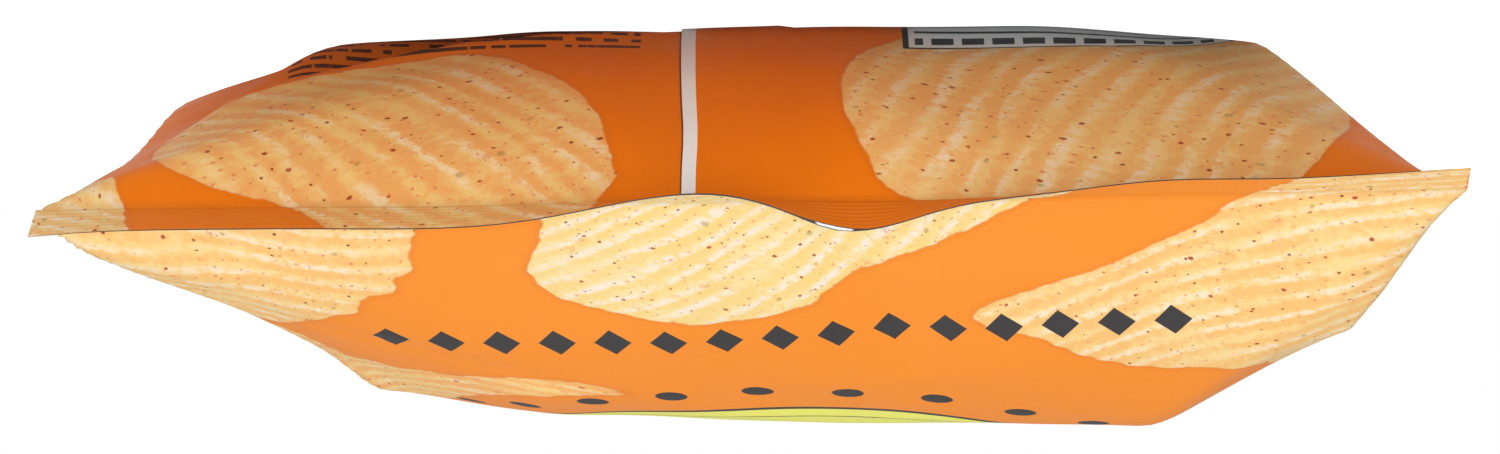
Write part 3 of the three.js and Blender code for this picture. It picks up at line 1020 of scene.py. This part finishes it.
def print_panel(f, colours, ground, across, laid):
    """The pale panel with its border, dark blocks and dark rules, and rows of short dashes beside it."""
    past = f.math("MAXIMUM", f.sub(PANEL["round_from"], across), 0.0)
    down = f.sub(f.sub(laid, PANEL["top"]), f.mul(past, past, PANEL["round"]))
    depth, line = PANEL["bottom"] - PANEL["top"], PANEL["line"]
    outer = f.mul(f.between(across, PANEL["right"], PANEL["left"], 0.05), f.between(down, 0.0, depth, 0.05))
    inner = f.mul(f.between(across, PANEL["right"] + line, PANEL["left"] - line, 0.05),
                  f.between(down, line, depth - line, 0.05))
    colour = f.mix(outer, ground, RULE_BLACK)
    colour = f.mix(inner, colour, colours.pale)

    at_right, at_left = PANEL["inset"]
    short = f.between(across, PANEL["right"] + at_right, PANEL["left"] - at_left, 0.05)
    part = f.math("FRACT", f.mul(across, 1 / PANEL["block"]))
    block = f.step(part, PANEL["block_share"] - 0.01, PANEL["block_share"] + 0.01, 1, 0)
    heading = f.mul(f.between(down, *PANEL["heading"], 0.06), block, short)
    rows = f.mul(down, 1 / PANEL["rule_pitch"])
    thick = f.step(f.math("SINE", f.mul(f.math("FLOOR", rows), 2.3)), 0.2, 0.3, *PANEL["rules"])
    in_row = f.math("MULTIPLY_ADD", f.math("FRACT", rows), PANEL["rule_pitch"], -PANEL["rule_at"])
    rule = f.mul(f.step(f.sub(thick, f.math("ABSOLUTE", in_row)), -0.05, 0.05),
                 f.between(down, PANEL["rules_from"], depth - PANEL["rules_to"], 0.05))
    colour = f.mix(f.math("MAXIMUM", heading, f.mul(rule, short)), colour, RULE_BLACK)

    lines = f.mul(laid, 1 / DASHES["pitch"])
    in_line = f.sub(f.math("FRACT", lines), 0.5)
    lengths = f.noise(f.vector(across, f.mul(f.math("FLOOR", lines), 7.3)), 0.55, 1.0)
    dash = f.mul(f.within(in_line, 0.23, 0.03), f.step(lengths, 0.4, 0.44),
                 f.between(across, DASHES["right"], DASHES["left"], 0.1),
                 f.between(laid, DASHES["top"], DASHES["bottom"], 0.1))
    return f.mix(f.mul(dash, DASHES["darkness"]), colour, RULE_BLACK)


# The film's surface: its least and greatest roughness, how glossy it is, and its faint grain
GLOSS = {"rough": (0.36, 0.46), "specular": 0.18, "grain": 0.25, "grain_height": 0.06}


def film_finish(colours):
    """The printed film: its print follows the film, and its gloss is satin with a faint grain."""
    f = Finish("printed_film")
    uv = f.node("ShaderNodeUVMap", uv_map="film").outputs["UV"]
    around, laid = f.parts(uv)[:2]
    on_back = f.math("GREATER_THAN", around, FLAT_WIDTH)
    front_across = f.sub(HALF_WIDTH, around)
    back_across = f.sub(around, 3 * HALF_WIDTH)
    # The back panel gets the deeper orange: painted shade over the same orange print
    colour = f.mix(on_back, colours.film, colours.film_back_painted_shade)
    for number in (0, 1):
        colour = print_crisps(f, colours, colour, number)
    front = print_lozenges(f, colours, colour, front_across, laid)
    front = print_label(f, colours, front, front_across, laid)
    back = print_panel(f, colours, colour, back_across, laid)
    from_edge = f.attribute("seam_gap")
    back = f.mix(f.between(from_edge, -0.02, SEAM["margin"], 0.03), back, colours.margin)
    # A painted shadow of the lap seam's cut edge, darkening the film beside it
    cut = f.between(from_edge, -SEAM["cut"], -0.02, 0.03)
    back = f.mix(f.mul(cut, 0.8), back, SEAM_PAINTED_SHADOW)
    f.put(f.mix(on_back, front, back), f.shader.inputs["Base Color"])

    soft = f.noise(uv, 0.12, 3.0, 0.55)
    fine = f.noise(uv, 0.55, 3.0, 0.6)
    f.put(f.step(soft, 0.3, 0.7, *GLOSS["rough"]), f.shader.inputs["Roughness"])
    f.shader.inputs["Specular IOR Level"].default_value = GLOSS["specular"]
    grain = f.node("ShaderNodeBump")
    grain.inputs["Strength"].default_value = GLOSS["grain"]
    grain.inputs["Distance"].default_value = GLOSS["grain_height"] * MM
    f.put(f.add(f.mul(soft, 2.0), f.mul(fine, 0.5)), grain.inputs["Height"])
    f.put(grain.outputs["Normal"], f.shader.inputs["Normal"])
    return f.material


def cut_finish():
    """The bare cut edge of the film, dark but for a glint of the pale inside where its two layers part."""
    f = Finish("cut_edge")
    across = f.mul(f.parts(f.node("ShaderNodeTexCoord").outputs["Object"])[0], 1 / MM)
    between_layers = f.between(f.attribute("seam_gap"), *NOTCH["glint_gap"], 5)
    glint = f.mul(f.between(across, *NOTCH["glint"], 0.3), between_layers)
    f.put(f.mix(glint, CUT_BROWN, CUT_PALE), f.shader.inputs["Base Color"])
    f.shader.inputs["Roughness"].default_value = 0.5
    return f.material


class CRISPS_OT_film(bpy.types.Operator):
    """Makes the bag's film: two shaped panels joined at their side creases and closed at both free edges"""

    bl_idname = "crisps.film"
    bl_label = "Film"
    bl_options = {"REGISTER", "UNDO"}

    def execute(self, context):
        settings = context.scene.crisps_film
        along, rows = film_rows(settings)
        columns = film_columns(settings)
        front = film_panel("front", settings, columns, along, rows)
        back = film_panel("back", settings, columns, along, rows)
        deselect_all()
        back.select_set(True)
        front.select_set(True)
        context.view_layer.objects.active = front
        bpy.ops.object.join()
        film = context.object
        film.name = film.data.name = "bag_film"
        printed, cut = film_finish(context.scene.crisps_print), cut_finish()
        film.data.materials.append(printed)
        film.data.materials.append(cut)
        edge_y = (BODY_LENGTH / 2 + SEAL_HEIGHT - SEAL_PULL - 0.2) * MM
        for end in (-1, 1):
            before = len(film.data.polygons)
            free_edges(film, end, edge_y)
            bpy.ops.object.mode_set(mode="EDIT")
            bpy.ops.mesh.select_mode(type="EDGE")
            bpy.ops.mesh.bridge_edge_loops()
            bpy.ops.object.mode_set(mode="OBJECT")
            for face in film.data.polygons[before:]:
                face.material_index = 1
        bpy.ops.object.mode_set(mode="EDIT")
        bpy.ops.mesh.select_mode(type="VERT")
        bpy.ops.mesh.select_all(action="SELECT")
        bpy.ops.mesh.remove_doubles(threshold=1e-6)
        bpy.ops.mesh.normals_make_consistent(inside=False)
        bpy.ops.object.mode_set(mode="OBJECT")
        bpy.ops.object.shade_smooth_by_angle(angle=math.radians(50))
        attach(film, "root")
        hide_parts("bag")
        return {"FINISHED"}


# The floor: how far it lies below the bag, its paleness, and its glow as the camera sees it and besides
FLOOR = {"below": 0.2 * MM, "pale": 0.8, "seen": 1.0, "glow": 0.03}

# The two large soft lights, turned towards the bag: place, width and height in metres
LIGHT_ABOVE = ("light_above", (0.2, -0.3, 1.7), 2.4, 1.8)
LIGHT_AHEAD = ("light_ahead", (0.25, -2.4, 0.45), 2.6, 1.0)

# The camera: how far left of the middle and how high it stands in mm, the picture's pixels for one mm at the
# free edge, the picture's width in pixels and the sensor's width in mm
CAMERA = {"side": 5.5, "height": 29.6, "seal_scale": 7.6, "picture_width": 1500, "sensor": 36.0}


class CRISPS_OT_stage(bpy.types.Operator):
    """Makes the plain pale floor, the soft studio light and the camera"""

    bl_idname = "crisps.stage"
    bl_label = "Stage"
    bl_options = {"REGISTER", "UNDO"}

    def execute(self, context):
        scene = context.scene
        settings = scene.crisps_stage
        self.floor(settings.floor_radius)
        self.lights(scene, settings)
        self.camera(scene, settings.camera_distance)
        scene.view_settings.view_transform = "Standard"
        return {"FINISHED"}

    def floor(self, radius):
        deselect_all()
        bpy.ops.mesh.primitive_circle_add(
            vertices=96, radius=radius, fill_type="NGON", location=(0, 0, -FLOOR["below"]))
        floor = bpy.context.object
        bpy.ops.object.transform_apply(location=True, rotation=False, scale=False)
        floor.name = "floor"
        finish = Finish("pale_floor")
        shader = finish.shader
        shader.inputs["Base Color"].default_value = (FLOOR["pale"], FLOOR["pale"], FLOOR["pale"], 1)
        shader.inputs["Roughness"].default_value = 0.8
        shader.inputs["Specular IOR Level"].default_value = 0.1
        shader.inputs["Emission Color"].default_value = (1, 1, 1, 1)
        path = finish.node("ShaderNodeLightPath")
        glow = finish.math("MULTIPLY_ADD", path.outputs["Is Camera Ray"], FLOOR["seen"], FLOOR["glow"])
        finish.put(glow, shader.inputs["Emission Strength"])
        floor.data.materials.append(finish.material)

    def lights(self, scene, settings):
        world = bpy.data.worlds.new("room")
        scene.world = world
        world.use_nodes = True
        tree = world.node_tree
        room = tree.nodes["Background"]
        room.inputs["Color"].default_value = (1, 1, 1, 1)
        seen = tree.nodes.new("ShaderNodeLightPath")
        strength = tree.nodes.new("ShaderNodeMapRange")
        tree.links.new(seen.outputs["Is Camera Ray"], strength.inputs["Value"])
        strength.inputs["To Min"].default_value = settings.room_light
        strength.inputs["To Max"].default_value = 1.0
        tree.links.new(strength.outputs[0], room.inputs["Strength"])
        self.soft_box(scene, *LIGHT_ABOVE, settings.soft_light)
        self.soft_box(scene, *LIGHT_AHEAD, settings.low_light)

    def soft_box(self, scene, name, place, width, height, power):
        """A large soft light turned towards the bag."""
        lamp = bpy.data.lights.new(name, "AREA")
        lamp.shape = "RECTANGLE"
        lamp.size, lamp.size_y = width, height
        lamp.energy = power
        item = bpy.data.objects.new(name, lamp)
        scene.collection.objects.link(item)
        item.location = place
        item.rotation_euler = (-Vector(place)).to_track_quat("-Z", "Y").to_euler()
        item.visible_camera = False

    def camera(self, scene, distance):
        """Level with the belly's middle, in front of the top seal, and turned over: the picture shows the bag
        upside down."""
        lens = bpy.data.cameras.new("camera")
        lens.sensor_width = CAMERA["sensor"]
        lens.lens = CAMERA["sensor"] * CAMERA["seal_scale"] * distance / MM / CAMERA["picture_width"]
        lens.clip_start = 0.05
        lens.clip_end = 50
        camera = bpy.data.objects.new("camera", lens)
        scene.collection.objects.link(camera)
        edge = -(BODY_LENGTH / 2 + SEAL_HEIGHT) * MM
        height = CAMERA["height"] * MM
        place = Vector((CAMERA["side"] * MM, edge - distance, height))
        aim = Vector((0, edge, height))
        forward = (aim - place).normalized()
        up = Vector((0, 0, -1))
        right = forward.cross(up).normalized()
        turn = Matrix((right, up, -forward)).transposed()
        camera.matrix_world = Matrix.Translation(place) @ turn.to_4x4()
        scene.camera = camera


class CRISPS_PT_panel(bpy.types.Panel):
    """Lists the bag's settings and its steps"""

    bl_idname = "CRISPS_PT_panel"
    bl_label = "Bag of crisps"
    bl_space_type = "VIEW_3D"
    bl_region_type = "UI"
    bl_category = "Crisps"

    def draw(self, context):
        scene = context.scene
        for settings, operator in (
                (scene.crisps_film, "crisps.film"),
                (scene.crisps_print, None),
                (scene.crisps_stage, "crisps.stage")):
            box = self.layout.box()
            for name in settings.__annotations__:
                box.prop(settings, name)
            if operator:
                box.operator(operator)


CLASSES = (FilmSettings, PrintSettings, StageSettings, CRISPS_OT_film, CRISPS_OT_stage, CRISPS_PT_panel)


def register():
    for item in CLASSES:
        bpy.utils.register_class(item)
    bpy.types.Scene.crisps_film = PointerProperty(type=FilmSettings)
    bpy.types.Scene.crisps_print = PointerProperty(type=PrintSettings)
    bpy.types.Scene.crisps_stage = PointerProperty(type=StageSettings)


def unregister():
    del bpy.types.Scene.crisps_stage
    del bpy.types.Scene.crisps_print
    del bpy.types.Scene.crisps_film
    for item in reversed(CLASSES):
        bpy.utils.unregister_class(item)


def main():
    register()
    bpy.ops.crisps.film()
    bpy.ops.crisps.stage()


if __name__ == "__main__":
    main()
